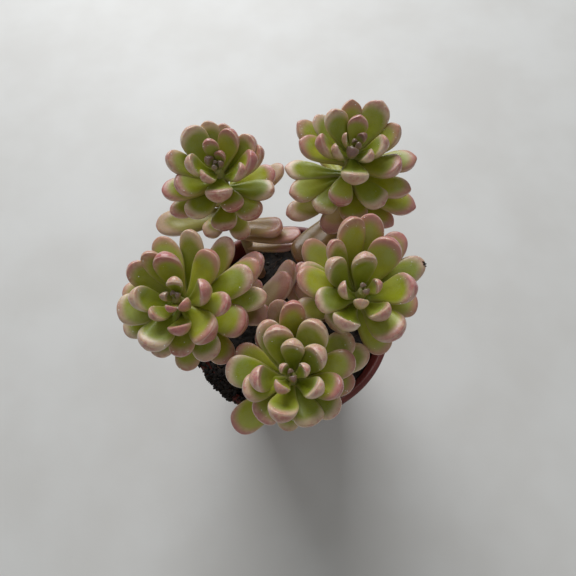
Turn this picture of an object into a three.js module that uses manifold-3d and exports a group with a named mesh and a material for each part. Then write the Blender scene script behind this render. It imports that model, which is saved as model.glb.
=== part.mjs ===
// A potted sedum: five rosettes of thick leaves on bent stems, rooted in peat in a small round plastic pot.
// Lengths are millimetres and Z is up. The origin is the middle of the pot's foot, on the surface it stands
// on. Seen from the front, +X is to the right and +Y is to the back.
import * as THREE from "three";
import { mergeVertices } from "three/addons/utils/BufferGeometryUtils.js";
import Module from "manifold-3d";

// Pot
const POT_HEIGHT = 80;
const RIM_RADIUS = 45;
const FOOT_RADIUS = 31;
const WALL = 1.2;
const FLOOR = 1.4;
const FOOT_CHAMFER = 0.6;
const LIP_WIDTH = 3.2;
const LIP_ROUND = 0.5;
const SKIRT_DEPTH = 10;
const SKIRT_DRAFT = 0.4;
const POT_SIDES = 32;
const DRAIN_HOLES = 6;
const DRAIN_RADIUS = 3.8;
const DRAIN_CIRCLE = 20;
const DRAIN_SIDES = 8;

// Peat
const PEAT_LEVEL = 71.5;
const PEAT_CROWN = 1.2;
const PEAT_BEVEL = 1;
const PEAT_SIDES = 24;

// Stems and leaves
const STEM_RADIUS = 2.2;
const ROOTED_DEPTH = 7;
const KNEE_SHARE = 0.55;
const STEM_STEPS = 8;
const STEM_SIDES = 6;
const BUD_HEIGHT = 7;
const LEAF_THICKNESS = 0.5;
const LEAF_TOP_SHARE = 0.34;
const LEAF_BASE_WIDTH = 0.32;
const LEAF_BASE_THICKNESS = 0.55;
const LEAF_SHOULDER = 2.2;
const LEAF_WIDEST = 0.74;
const LEAF_THICKEST = 0.68;
const CURL_UPRIGHT = 58;
const CURL_FLAT = 20;
const UPRIGHT_ABOVE = 20;
const OWN_LEAF_SIDES = 6;
const OWN_LEAF_RINGS = 6;
const YOUNG_LEAF_SIDES = 6;
const YOUNG_LEAF_RINGS = 4;

// Gap kept between neighbours
const GAP = 0.3;

// Each shoot: the tip of its stem, the way the stem leans there, where it is rooted, how many of its oldest
// leaves are pieces of their own, and its leaves from the youngest to the oldest. A leaf is
// [depth below the tip, turn about the stem, rise above level, length, width], in millimetres and degrees.
// A turn of 0 points right, 90 to the back, 180 left and 270 to the front.
const SHOOTS = {
  rear_left: {
    tip: [-25.8, 34.2, 140],
    lean: [-0.03, -0.12],
    root: [-14, 24],
    ownLeaves: 11,
    leaves: [
      [1.7, 10, 74, 4.5, 2.6], [2.1, 150, 64, 6, 3.6],
      [2.6, 60, 62, 7.5, 4.5], [4.5, 232, 52, 9.5, 6.5], [3.6, 103, 60, 12.5, 5.5], [7, 342, 48, 15, 6.5],
      [5, 190, 58, 15, 7.5], [5.5, 65, 46, 17, 8.5], [6.5, 272, 30, 12.5, 10], [7.5, 4, 44, 18.5, 9],
      [7, 130, 40, 20.5, 10.5], [8.5, 198, 25, 17.5, 10], [8.5, 38, 36, 20, 9], [9, 101, 36, 21.5, 8.5],
      [11, 296, 12, 14.5, 8.5], [8, 168, 32, 21, 9], [10, 82, 36, 21, 8], [13.5, 228, 8, 18, 9.5],
      [9, 20, 32, 20.5, 8.5], [18, 120, 5, 21, 9], [22, 70, 0, 21, 9], [26, 150, -5, 21, 8.5],
      [15.5, 316, 5, 18.5, 10], [12.5, 190, 14, 22.5, 10], [15, 352, 10, 20, 9.5], [20, 266, -5, 14.5, 10],
      [16, 206, 5, 22.5, 9], [16, 14, 12, 20.5, 9], [25, 290, -15, 16, 8.5], [30, 186, -3, 34, 12],
      [27, 225, -10, 16, 8.5], [28, 38, 12, 27, 9], [40, 351, -2, 19, 10.5], [46, 351, 0, 26, 9],
      [53, 353, -4, 22, 8],
    ],
  },
  rear_right: {
    tip: [21.7, 36.7, 148],
    lean: [0.03, -0.06],
    root: [18, 26],
    ownLeaves: 11,
    leaves: [
      [2.5, 250, 60, 6, 4.5], [2, 42, 64, 6.5, 3.5],
      [2.5, 182, 66, 9, 3.5], [5, 325, 45, 9, 6], [5.5, 200, 48, 10.5, 6], [6, 356, 45, 14, 8],
      [4, 82, 52, 12.5, 7], [6, 272, 26, 14, 10], [6, 183, 42, 16.5, 7.5], [5.5, 126, 45, 17, 8.5],
      [9, 342, 22, 18.5, 10], [6.5, 57, 36, 21, 10], [13, 252, 2, 16, 9], [7, 95, 36, 19.5, 8.5],
      [7, 20, 32, 19.5, 8.5], [10, 165, 16, 19.5, 9], [11, 127, 20, 21, 8.5], [18, 60, 0, 20, 9],
      [22, 110, -3, 21, 9], [28, 80, -5, 20, 9], [11, 149, 18, 23.5, 9.5], [15, 311, 2, 18.5, 10.5],
      [12, 2, 14, 23.5, 9], [15, 337, 3, 23.5, 9.5], [17, 230, -8, 18, 10], [17, 198, -3, 22.5, 10],
      [20, 283, -10, 17, 10.5], [19, 336, -5, 28, 10], [16, 172, -2, 23, 8.5], [23, 320, -10, 24, 8.5],
      [27, 205, -5, 24, 9.5], [29, 250, -8, 17.5, 9.5], [44, 228, -10, 26, 14],
    ],
  },
  left: {
    tip: [-36.5, -14, 138],
    lean: [0.04, -0.1],
    root: [-4, 1],
    ownLeaves: 11,
    leaves: [
      [3.3, 180, 71, 6.9, 3.2], [3.9, 80, 67, 9.6, 5.4], [4, 262, 63, 8.8, 4], [7.1, 330, 67, 11.5, 5],
      [9.1, 224, 58, 15, 5.9], [11.5, 284, 54, 18.5, 7.2], [11, 12, 57, 20, 8.6],
      [10.5, 181, 54, 19, 8.6], [12, 101, 54, 21.5, 9], [7, 243, 22, 19, 11],
      [7.5, 316, 25, 19.5, 10.5], [11, 119, 40, 22.5, 7.6], [9, 190, 15, 20.5, 11],
      [9, 353, 28, 20.5, 8], [12, 57, 22, 22, 10], [12, 143, 36, 23, 9], [12, 274, 12, 18, 9],
      [15, 22, 14, 27, 10.5], [12, 168, 14, 21, 8.5], [24, 130, -5, 21, 9], [28, 80, -5, 22, 9],
      [26, 160, -8, 19, 9], [28, 220, -10, 19, 9], [20, 266, -2, 21.5, 9.5], [19, 232, 2, 20.5, 10],
      [14, 199, 5, 22.5, 10], [13, 108, 15, 25.5, 10], [16, 300, 8, 21, 10], [17, 83, 25, 28.5, 9.5],
      [18, 344, 10, 23, 11.5], [21, 304, -3, 23, 9.5], [20, 31, 7, 30, 10], [28, 41, 3, 32, 10.5],
      [16, 5, 5, 29, 8.5], [24, 68, 3, 30, 10], [30, 22, 3, 26, 8.5], [36, 2, -5, 24, 9],
      [54, 27, 6, 33, 11.5], [62, 42, 0, 33, 11],
    ],
  },
  front: {
    tip: [0.4, -38.2, 136],
    lean: [0, 0.04],
    root: [1, -14],
    ownLeaves: 10,
    leaves: [
      [3.4, 140, 67, 7.8, 3.6], [3.9, 20, 65, 9.5, 4.5], [4.6, 232, 63, 11, 5.4],
      [8.1, 333, 57, 15.5, 7.2], [9.2, 86, 60, 17.5, 7.2], [9.3, 182, 54, 17.5, 8.1],
      [10.5, 42, 57, 19, 8.6], [7.4, 256, 42, 16.5, 9.5], [8.5, 108, 40, 19.5, 9.5],
      [6.7, 194, 20, 16, 9], [7.4, 347, 22, 17, 9], [8.2, 293, 10, 15.5, 9.5], [12, 62, 38, 23.5, 10.5],
      [10, 228, 12, 16, 9.5], [10.7, 325, 12, 18, 9.5], [11.6, 118, 28, 22.5, 8.5], [24, 120, 0, 22, 9],
      [24, 60, 0, 22, 9], [26, 180, -10, 18, 9], [26, 340, -10, 19, 9], [28, 270, -15, 14, 8],
      [12.6, 17, 15, 22, 9.5], [13.6, 170, 12, 22, 10.5], [17.5, 90, 36, 30.5, 9],
      [15.7, 358, 5, 21, 9], [16.8, 262, -10, 16, 8], [17.9, 36, 8, 26, 10], [19, 148, 8, 22, 8],
      [19, 218, -8, 25, 11], [20, 20, 0, 29, 10], [40, 100, 10, 31, 10],
    ],
  },
  right: {
    tip: [22.8, -12.6, 141],
    lean: [0.03, -0.03],
    root: [13, 2],
    ownLeaves: 10,
    leaves: [
      [3.5, 5, 67, 9, 4.5], [6.8, 255, 67, 13, 5], [7.7, 186, 62, 14.5, 5.4], [9.5, 305, 57, 17, 7.6],
      [9.2, 86, 60, 18, 8.1], [9.9, 142, 52, 20.5, 8.1], [11, 240, 50, 21, 8.6], [7.8, 3, 41, 19.5, 10],
      [6.5, 193, 15, 15.5, 9], [9.4, 60, 38, 23, 10.5], [7.5, 308, 22, 19, 11.5],
      [11, 123, 41, 24, 7.1], [9, 166, 15, 22, 10], [10, 355, 8, 19.5, 10], [12.5, 102, 38, 29.5, 10],
      [14, 225, -10, 12, 9], [24, 20, -5, 21, 9], [24, 60, -5, 22, 9], [26, 180, -8, 19, 9],
      [28, 330, -10, 19, 8.5], [12, 27, 15, 26, 9.5], [13, 55, 20, 27.5, 9.5], [14, 147, 10, 22.5, 8.5],
      [12, 80, 28, 30, 10], [18, 307, -8, 20, 10], [18, 127, 8, 28, 9.5], [24, 140, 0, 25, 7],
      [50, 140, 3, 21, 8], [58, 84, 12, 26, 10], [60, 143, 5, 22, 10],
    ],
  },
};

const COLOURS = {
  pot: 0x7a3024,
  peat: 0x1d160f,
  leaf: 0x72803a,
  shoot: 0x8a8f55,
};

const wasm = await Module();
wasm.setup();

// A closed geometry as a solid that can be joined and cut.
function solidOf(geometry) {
  const bare = geometry.clone();
  for (const name of ["normal", "uv"]) bare.deleteAttribute(name);
  const merged = mergeVertices(bare, 1e-4);
  const vertProperties = new Float32Array(merged.attributes.position.array);
  const triVerts = new Uint32Array(merged.index.array);
  return new wasm.Manifold(new wasm.Mesh({ numProp: 3, vertProperties, triVerts }));
}

// The outer skin of a solid as a geometry. Crumbs that a cut left apart and pockets shut in by a join are
// dropped: triangles are grouped by shared vertices, and the group that holds the largest volume stays.
function outerSkin(solid) {
  const mesh = solid.getMesh();
  const raw = new THREE.BufferGeometry();
  raw.setAttribute("position", new THREE.BufferAttribute(new Float32Array(mesh.vertProperties), 3));
  raw.setIndex(new THREE.BufferAttribute(new Uint32Array(mesh.triVerts), 1));
  const merged = mergeVertices(raw, 1e-5);
  const index = merged.index.array;
  const parent = Array.from({ length: merged.attributes.position.count }, (_, i) => i);
  const find = (i) => {
    let top = i;
    while (parent[top] !== top) top = parent[top];
    while (parent[i] !== top) [i, parent[i]] = [parent[i], top];
    return top;
  };
  for (let i = 0; i < index.length; i += 3) {
    parent[find(index[i])] = find(index[i + 1]);
    parent[find(index[i + 1])] = find(index[i + 2]);
  }
  const groups = new Map();
  const [a, b, c] = [new THREE.Vector3(), new THREE.Vector3(), new THREE.Vector3()];
  for (let i = 0; i < index.length; i += 3) {
    const key = find(index[i]);
    const group = groups.get(key) ?? { volume: 0, corners: [] };
    a.fromBufferAttribute(merged.attributes.position, index[i]);
    b.fromBufferAttribute(merged.attributes.position, index[i + 1]);
    c.fromBufferAttribute(merged.attributes.position, index[i + 2]);
    group.volume += a.dot(b.cross(c)) / 6;
    group.corners.push(index[i], index[i + 1], index[i + 2]);
    groups.set(key, group);
  }
  const largest = [...groups.values()].reduce((best, group) => (group.volume > best.volume ? group : best));
  merged.setIndex(largest.corners);
  return merged;
}

// A unit sphere with its poles moved to the two ends of a shape. place(along, around) gives the point of the
// shape at a share of its length from 0 to 1 and at an angle about it.
function reshapedSphere(sides, rings, place) {
  const sphere = new THREE.SphereGeometry(1, sides, rings);
  const position = sphere.attributes.position;
  const point = new THREE.Vector3();
  for (let i = 0; i < position.count; i += 1) {
    point.fromBufferAttribute(position, i);
    point.copy(place((1 - point.y) / 2, Math.atan2(point.z, point.x)));
    position.setXYZ(i, point.x, point.y, point.z);
  }
  return solidOf(sphere);
}

// The stem's course from the peat to its tip: it leaves the root at a slant and bends upright at the knee.
function stemCourse(shoot) {
  const tip = new THREE.Vector3(...shoot.tip);
  const root = new THREE.Vector3(...shoot.root, PEAT_LEVEL + 0.5);
  const axis = new THREE.Vector3(...shoot.lean, 1).normalize();
  const knee = tip.clone().addScaledVector(axis, -KNEE_SHARE * tip.distanceTo(root));
  const curve = new THREE.QuadraticBezierCurve3(tip, knee, root);
  curve.arcLengthDivisions = 120;
  return curve;
}

// The point of a stem at a depth below its tip, with the directions right, back and up the stem there.
function stemFrame(course, depth) {
  const share = Math.min(depth / course.getLength(), 1);
  const up = course.getTangentAt(share).negate();
  const right = new THREE.Vector3(1, 0, 0).addScaledVector(up, -up.x).normalize();
  const back = up.clone().cross(right);
  return { point: course.getPointAt(share), right, back, up };
}

// The stem's tube, rooted in the peat, and the bud that closes its top and stands for the smallest leaves.
function stemSolid(course, grow) {
  const radius = STEM_RADIUS + grow;
  const bud = stemFrame(course, BUD_HEIGHT / 2);
  const root = stemFrame(course, course.getLength());
  const rooted = root.point.addScaledVector(root.up, -ROOTED_DEPTH - grow);
  const climbing = course.getSpacedPoints(STEM_STEPS).slice(1).reverse();
  const tube = new THREE.ExtrudeGeometry(new THREE.Shape().absarc(0, 0, radius, 0, 2 * Math.PI), {
    steps: STEM_STEPS,
    extrudePath: new THREE.CatmullRomCurve3([rooted, ...climbing, bud.point]),
    curveSegments: STEM_SIDES / 2,
    bevelEnabled: false,
  });
  const cap = reshapedSphere(STEM_SIDES, STEM_SIDES, (along, around) => {
    const radial = radius * 2 * Math.sqrt(along * (1 - along));
    return bud.point
      .clone()
      .addScaledVector(bud.up, (0.5 - along) * (BUD_HEIGHT + 2 * grow))
      .addScaledVector(bud.right, -radial * Math.cos(around))
      .addScaledVector(bud.back, radial * Math.sin(around));
  });
  return solidOf(tube).add(cap);
}

// A share of the full size that rises from first to 1 at the place peak, and then closes to 0 at the end as
// an ellipse does.
function roundedEnd(along, peak, first, power) {
  if (along < peak) return first + (1 - first) * Math.sin((along / peak) * (Math.PI / 2)) ** power;
  return Math.sqrt(Math.max(0, 1 - ((along - peak) / (1 - peak)) ** 2));
}

// One thick spoon-shaped leaf. Its middle line leaves the stem below its rise and curls up past it. Its
// width grows from a narrow base to the widest place and closes in a round end. It bulges more below than
// above.
function leafSolid(course, [depth, turn, rise, length, width], sides, rings, grow) {
  const { point, right, back, up } = stemFrame(course, depth);
  const angle = THREE.MathUtils.degToRad(turn);
  const out = right.multiplyScalar(Math.cos(angle)).addScaledVector(back, Math.sin(angle));
  const side = up.clone().cross(out);
  const curl = THREE.MathUtils.degToRad(rise > UPRIGHT_ABOVE ? CURL_UPRIGHT : CURL_FLAT);
  const start = THREE.MathUtils.degToRad(rise) - curl / 2;
  const bow = (length + 2 * grow) / curl;
  return reshapedSphere(sides, rings, (along, around) => {
    const slope = start + curl * along;
    const inside = along > 0 && along < 1 ? 1 : 0;
    const raised = Math.sin(around);
    const share = raised > 0 ? LEAF_TOP_SHARE : 1 - LEAF_TOP_SHARE;
    const thick = width * LEAF_THICKNESS * roundedEnd(along, LEAF_THICKEST, LEAF_BASE_THICKNESS, 1);
    const lift = inside * raised * (thick * share + grow);
    const half = (width / 2) * roundedEnd(along, LEAF_WIDEST, LEAF_BASE_WIDTH, LEAF_SHOULDER) + grow;
    const reach = bow * (Math.sin(slope) - Math.sin(start)) - grow * Math.cos(start);
    const height = bow * (Math.cos(start) - Math.cos(slope)) - grow * Math.sin(start);
    return point
      .clone()
      .addScaledVector(out, reach - lift * Math.sin(slope))
      .addScaledVector(up, height + lift * Math.cos(slope))
      .addScaledVector(side, inside * half * Math.cos(around));
  });
}

// The pot: a tapered wall on a flat floor, with a lip that turns out and down as a skirt, and drain holes.
function potSolid() {
  const lipInner = RIM_RADIUS - LIP_WIDTH;
  const wallTop = lipInner + WALL;
  const outerAt = (z) => FOOT_RADIUS + ((wallTop - FOOT_RADIUS) * z) / POT_HEIGHT;
  const lipBelow = POT_HEIGHT - WALL;
  const skirtFoot = POT_HEIGHT - SKIRT_DEPTH;
  const profile = [
    [0, 0],
    [FOOT_RADIUS - FOOT_CHAMFER, 0],
    [outerAt(FOOT_CHAMFER), FOOT_CHAMFER],
    [outerAt(lipBelow), lipBelow],
    [RIM_RADIUS - WALL, lipBelow],
    [RIM_RADIUS - WALL - SKIRT_DRAFT, skirtFoot],
    [RIM_RADIUS - SKIRT_DRAFT, skirtFoot],
    [RIM_RADIUS, POT_HEIGHT - LIP_ROUND],
    [RIM_RADIUS - LIP_ROUND, POT_HEIGHT],
    [lipInner + LIP_ROUND, POT_HEIGHT],
    [lipInner, POT_HEIGHT - LIP_ROUND],
    [outerAt(FLOOR) - WALL, FLOOR],
    [0, FLOOR],
  ];
  let pot = solidOf(turned(profile, POT_SIDES));
  for (let i = 0; i < DRAIN_HOLES; i += 1) {
    const turn = ((i + 0.5) / DRAIN_HOLES) * 2 * Math.PI;
    const drill = new THREE.CylinderGeometry(DRAIN_RADIUS, DRAIN_RADIUS, 4 * FLOOR, DRAIN_SIDES);
    drill.rotateX(Math.PI / 2);
    drill.translate(DRAIN_CIRCLE * Math.cos(turn), DRAIN_CIRCLE * Math.sin(turn), FLOOR / 2);
    pot = pot.subtract(solidOf(drill));
  }
  return pot;
}

// The peat fills the pot to below its lip and rises a little to the middle.
function peatSolid() {
  const wallTop = RIM_RADIUS - LIP_WIDTH + WALL;
  const innerAt = (z) => FOOT_RADIUS + ((wallTop - FOOT_RADIUS) * z) / POT_HEIGHT - WALL - GAP;
  const bottom = FLOOR + GAP;
  const profile = [
    [0, bottom],
    [innerAt(bottom), bottom],
    [innerAt(PEAT_LEVEL - PEAT_BEVEL), PEAT_LEVEL - PEAT_BEVEL],
    [innerAt(PEAT_LEVEL) - PEAT_BEVEL, PEAT_LEVEL],
    [0, PEAT_LEVEL + PEAT_CROWN],
  ];
  return solidOf(turned(profile, PEAT_SIDES));
}

// A profile of [radius, height] turned about the upright axis.
function turned(profile, sides) {
  const points = profile.map(([radius, height]) => new THREE.Vector2(radius, height));
  const lathe = new THREE.LatheGeometry([...points], sides);
  lathe.rotateX(Math.PI / 2);
  return lathe;
}

const sedum = new THREE.Group();

function addPiece(name, solid, colour, roughness) {
  const material = new THREE.MeshStandardMaterial({ color: colour, roughness, metalness: 0 });
  const mesh = new THREE.Mesh(outerSkin(solid), material);
  mesh.name = name;
  sedum.add(mesh);
}

function clearOf(solid, others) {
  return others.reduce((left, other) => left.subtract(other), solid);
}

// A shoot is its stem with its young leaves. Each shoot is cut clear of the ones before it, by copies that
// are the gap larger all round. Those copies then cut the peat, and each old leaf that is its own piece.
const grown = [];
for (const [name, shoot] of Object.entries(SHOOTS)) {
  const course = stemCourse(shoot);
  let solid = stemSolid(course, 0);
  let wide = stemSolid(course, GAP);
  for (const row of shoot.leaves.slice(0, -shoot.ownLeaves)) {
    solid = solid.add(leafSolid(course, row, YOUNG_LEAF_SIDES, YOUNG_LEAF_RINGS, 0));
    wide = wide.add(leafSolid(course, row, YOUNG_LEAF_SIDES, YOUNG_LEAF_RINGS, GAP));
  }
  addPiece(`${name}_shoot`, clearOf(solid, grown), COLOURS.shoot, 0.5);
  grown.push(wide);
}
addPiece("pot", potSolid(), COLOURS.pot, 0.45);
addPiece("peat", clearOf(peatSolid(), grown), COLOURS.peat, 0.95);
for (const [name, shoot] of Object.entries(SHOOTS)) {
  const course = stemCourse(shoot);
  shoot.leaves.slice(-shoot.ownLeaves).forEach((row, i) => {
    const label = `${name}_leaf_${String(i + 1).padStart(2, "0")}`;
    const solid = leafSolid(course, row, OWN_LEAF_SIDES, OWN_LEAF_RINGS, 0);
    addPiece(label, clearOf(solid, grown), COLOURS.leaf, 0.5);
    grown.push(leafSolid(course, row, OWN_LEAF_SIDES, OWN_LEAF_RINGS, GAP));
  });
}

export default sedum;
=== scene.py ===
# %% [markdown]
# # A potted sedum
#
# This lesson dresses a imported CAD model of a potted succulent: five shoots, each a bent stem with a
# rosette of thick pink-edged leaves, rooted in dark peat in a small round plastic pot. The CAD solids are
# coarse on purpose. Here every leaf, stem, crumb and wall gets its fine surface and its finish, in the
# place that the CAD gives it.

# %% Frame and tools
import math

import bpy
import numpy as np
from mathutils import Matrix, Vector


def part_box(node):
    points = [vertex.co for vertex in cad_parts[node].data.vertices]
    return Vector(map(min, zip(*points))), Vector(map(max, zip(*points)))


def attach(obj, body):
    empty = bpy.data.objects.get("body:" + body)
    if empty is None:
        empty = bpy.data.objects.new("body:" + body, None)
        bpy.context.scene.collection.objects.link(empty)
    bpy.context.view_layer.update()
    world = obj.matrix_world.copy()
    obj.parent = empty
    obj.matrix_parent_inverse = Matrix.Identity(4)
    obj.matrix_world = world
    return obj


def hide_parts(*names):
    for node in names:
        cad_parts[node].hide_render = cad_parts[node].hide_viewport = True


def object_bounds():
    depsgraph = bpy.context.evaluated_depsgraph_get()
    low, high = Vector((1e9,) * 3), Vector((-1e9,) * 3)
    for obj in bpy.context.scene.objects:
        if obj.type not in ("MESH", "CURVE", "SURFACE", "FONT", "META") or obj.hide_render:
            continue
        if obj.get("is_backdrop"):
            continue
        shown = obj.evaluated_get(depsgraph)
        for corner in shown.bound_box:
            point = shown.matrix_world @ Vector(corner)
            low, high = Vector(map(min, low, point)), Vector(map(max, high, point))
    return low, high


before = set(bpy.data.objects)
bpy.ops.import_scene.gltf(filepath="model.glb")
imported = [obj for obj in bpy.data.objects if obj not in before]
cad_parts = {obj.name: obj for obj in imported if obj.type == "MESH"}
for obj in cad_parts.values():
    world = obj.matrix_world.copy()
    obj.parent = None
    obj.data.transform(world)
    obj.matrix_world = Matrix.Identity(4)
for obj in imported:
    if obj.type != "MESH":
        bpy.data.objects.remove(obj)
cad_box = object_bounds()

MM = 0.001
BODY = "root"
SEED = 20
print("CAD box in mm:", [round(side / MM, 1) for side in cad_box[1] - cad_box[0]])

# %% [markdown]
# ## Surfaces on a grid
#
# A leaf, a stem and a pot are all closed skins with two ends. Such a skin is a stack of rings: the rows
# run from one end to the other, and each row goes once around. When every ring is one row of an array,
# the faces follow from the row and column numbers alone, and numpy works them out all at once. All shapes
# are in millimetres until `add_piece` writes them into a mesh in metres.


# %% Closed skins
def closed_skin(rings, start, end):
    """Points and faces of a closed skin. The rings have the shape (rows, around, 3), and each end closes
    in one point. A face joins a point to its neighbour around and to the same two on the next ring. It
    points outwards when the rings run counter-clockwise as seen from the end."""
    rows, around = rings.shape[:2]
    points = np.concatenate([rings.reshape(-1, 3), [start, end]])
    here = np.arange(rows * around).reshape(rows, around)
    beside = np.roll(here, -1, axis=1)
    quads = np.stack([here[:-1], beside[:-1], beside[1:], here[1:]], -1).reshape(-1, 4)
    first = np.stack([np.full(around, rows * around), beside[0], here[0]], -1)
    last = np.stack([np.full(around, rows * around + 1), here[-1], beside[-1]], -1)
    return points, quads, np.concatenate([first, last])


def placed(name, data):
    """An object of that mesh, camera or light, linked into the scene."""
    made = bpy.data.objects.new(name, data)
    bpy.context.scene.collection.objects.link(made)
    return made


def joined(skins):
    """The points in metres and the faces of several skins. Each skin's faces are numbered on from the
    points of the skins before it."""
    points, faces, count = [], [], 0
    for corners, quads, triangles in skins:
        points.append(corners)
        faces += (quads + count).tolist() + (triangles + count).tolist()
        count += len(corners)
    return np.concatenate(points) * MM, faces


def add_piece(name, skins, finish, replaces=(), fields=None):
    """One object made of one or more closed skins, riding on the pot's body. fields are numbers kept at
    points."""
    points, faces = joined(skins)
    mesh = bpy.data.meshes.new(name)
    mesh.from_pydata(points, [], faces)
    for field, values in (fields or {}).items():
        layer = mesh.attributes.new(field, "FLOAT_VECTOR", "POINT")
        layer.data.foreach_set("vector", np.ascontiguousarray(values, np.float32).ravel())
    mesh.shade_smooth()
    mesh.materials.append(finish)
    piece = placed(name, mesh)
    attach(piece, BODY)
    if replaces:
        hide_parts(*replaces)
    return piece


# %% [markdown]
# ## Shader sums
#
# A finish is a sum of masks: how far a point is from the leaf's edge, how old the leaf is, what a noise
# says there. The class below wraps a socket, so that such a sum reads as arithmetic and each step adds
# its Math node. Colours go through Mix nodes instead, because a Math node would turn them grey. A Mix
# node has sockets for numbers, vectors and colours side by side, and the three numbers below are those
# for colours.


# %% Sockets as values
MIX_FIRST, MIX_SECOND, MIX_RESULT = 6, 7, 2


def linear(colour):
    """An sRGB colour word such as "7a3024" as the linear numbers that a shader takes."""
    parts = [int(colour[i : i + 2], 16) / 255 for i in (0, 2, 4)]
    return (*[part / 12.92 if part <= 0.04045 else ((part + 0.055) / 1.055) ** 2.4 for part in parts], 1)


class Value:
    """One output socket in a finish's node tree, with the signs of arithmetic. Each sign adds one Math
    node, which works it out from its two sides."""

    def __init__(self, finish, socket):
        self.finish, self.socket = finish, socket

    def math(self, operation, *parts):
        """One Math node on the parts, which are Values or numbers."""
        return self.finish.node("ShaderNodeMath", {"operation": operation}, dict(enumerate(parts)))

    def __add__(self, other):
        return self.math("ADD", self, other)

    def __sub__(self, other):
        return self.math("SUBTRACT", self, other)

    def __rsub__(self, other):
        return self.math("SUBTRACT", other, self)

    def __mul__(self, other):
        return self.math("MULTIPLY", self, other)

    __radd__ = __add__
    __rmul__ = __mul__

    def step(self, low, high):
        """0 up to low, 1 from high, and a smooth rise between, or a fall where low is the larger one."""
        settings = {"interpolation_type": "SMOOTHSTEP", "clamp": True}
        inputs = {0: self, 1: min(low, high), 2: max(low, high)}
        rise = self.finish.node("ShaderNodeMapRange", settings, inputs)
        return rise if low < high else 1 - rise


class Finish:
    """A material and the few kinds of node that it is made of. Its constants are the shader's sockets
    that stay the same all over."""

    def __init__(self, name, **constants):
        self.material = bpy.data.materials.new(name)
        self.material.use_nodes = True
        self.tree = self.material.node_tree
        self.shader = self.tree.nodes["Principled BSDF"]
        for socket, value in constants.items():
            self.shader.inputs[socket.replace("_", " ")].default_value = value

    def node(self, kind, settings, inputs, output=0):
        """Adds a node, sets it up, fills or links its sockets, and gives back one of its outputs."""
        made = self.tree.nodes.new(kind)
        for key, value in settings.items():
            setattr(made, key, value)
        for key, value in inputs.items():
            if isinstance(value, Value):
                self.tree.links.new(value.socket, made.inputs[key])
            else:
                made.inputs[key].default_value = value
        return Value(self, made.outputs[output])

    def place(self):
        """Where on the object a point is, in metres."""
        return self.node("ShaderNodeTexCoord", {}, {}, "Object")

    def noise(self, size, detail=3.0, rough=0.5):
        """Cloudy values about 0.5, whose clouds are about size millimetres across."""
        inputs = {"Vector": self.place(), "Scale": 1 / (size * MM), "Detail": detail, "Roughness": rough}
        return self.node("ShaderNodeTexNoise", {}, inputs)

    def cells(self, size):
        """The distance to the nearest of many scattered points, over their spacing in millimetres."""
        inputs = {"Vector": self.place(), "Scale": 1 / (size * MM)}
        return self.node("ShaderNodeTexVoronoi", {"feature": "F1"}, inputs, "Distance")

    def split(self, vector):
        """The X, Y and Z of a vector."""
        parts = self.node("ShaderNodeSeparateXYZ", {}, {0: vector}).socket.node
        return [Value(self, parts.outputs[axis]) for axis in "XYZ"]

    def field(self, name):
        """The three numbers kept at each point of a piece under that name."""
        return self.split(self.node("ShaderNodeAttribute", {"attribute_name": name}, {}, "Vector"))

    def mix(self, share, first, second):
        """The first colour where share is 0 and the second where it is 1, each an sRGB word or a Value."""
        settings = {"data_type": "RGBA", "clamp_factor": True}
        first, second = (part if isinstance(part, Value) else linear(part) for part in (first, second))
        inputs = {0: share, MIX_FIRST: first, MIX_SECOND: second}
        return self.node("ShaderNodeMix", settings, inputs, MIX_RESULT)

    def bump(self, height, depth, normal=None):
        """A normal that tilts as if the surface rose by depth millimetres where height goes from 0 to 1."""
        inputs = {"Height": height, "Distance": depth * MM, "Strength": 1.0}
        if normal is not None:
            inputs["Normal"] = normal
        return self.node("ShaderNodeBump", {}, inputs)

    def done(self, **links):
        """Links Values to the shader's sockets and gives back the material."""
        for socket, value in links.items():
            self.tree.links.new(value.socket, self.shader.inputs[socket.replace("_", " ")])
        return self.material


# %% [markdown]
# ## A cloudy number for shapes
#
# Nothing that grows is quite even. The shapes below are roughened by one function, a value noise: space
# is cut into cubes, each corner of a cube gets a random number, and a point takes the mean of the eight
# around it.


# %% Cloudy numbers
SHUFFLE, SHUFFLE_GAIN = (12.9898, 78.233, 37.719), 43758.5453


def cloud(points, size, seed=0):
    """A smooth random number from -1 to 1 at each point, with clouds of that size. A corner c of the
    cubes has the fraction of sin(c . SHUFFLE + seed) * SHUFFLE_GAIN, and the eight corners are mixed by f
    * f * (3 - 2 f), where f is the point's place in its cube."""
    place = np.asarray(points) / size
    corner = np.floor(place)
    ease = (place - corner) ** 2 * (3 - 2 * (place - corner))
    total = 0
    for step in np.ndindex(2, 2, 2):
        weight = np.prod(np.where(step, ease, 1 - ease), axis=-1)
        phase = (corner + step) @ SHUFFLE + seed
        total = total + weight * (np.sin(phase) * SHUFFLE_GAIN % 1)
    return 2 * total - 1


# %% [markdown]
# ## The camera
#
# The plant is seen from above and a little from the front, as it is seen by looking down into the pot. A
# pot shot from the side would hide the rosettes' hearts, which are the plant's face. The place and the
# tilt follow from the rim, a known circle that shows as an ellipse: its two widths give the tilt, and its
# size gives the distance.

# %% Camera
CAMERA_PLACE = (-0.7, -64.5, 270.5)
CAMERA_TILT = 22
SENSOR = 36
FOCAL = 28.125

camera_data = bpy.data.cameras.new("camera")
camera_data.sensor_width = SENSOR
camera_data.lens = FOCAL
camera_data.clip_start = 0.01
camera = placed("camera", camera_data)
camera.location = [place * MM for place in CAMERA_PLACE]
camera.rotation_euler = (math.radians(CAMERA_TILT), 0, 0)
bpy.context.scene.camera = camera
print("the camera looks down at", 90 - CAMERA_TILT, "degrees below the horizon")

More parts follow.
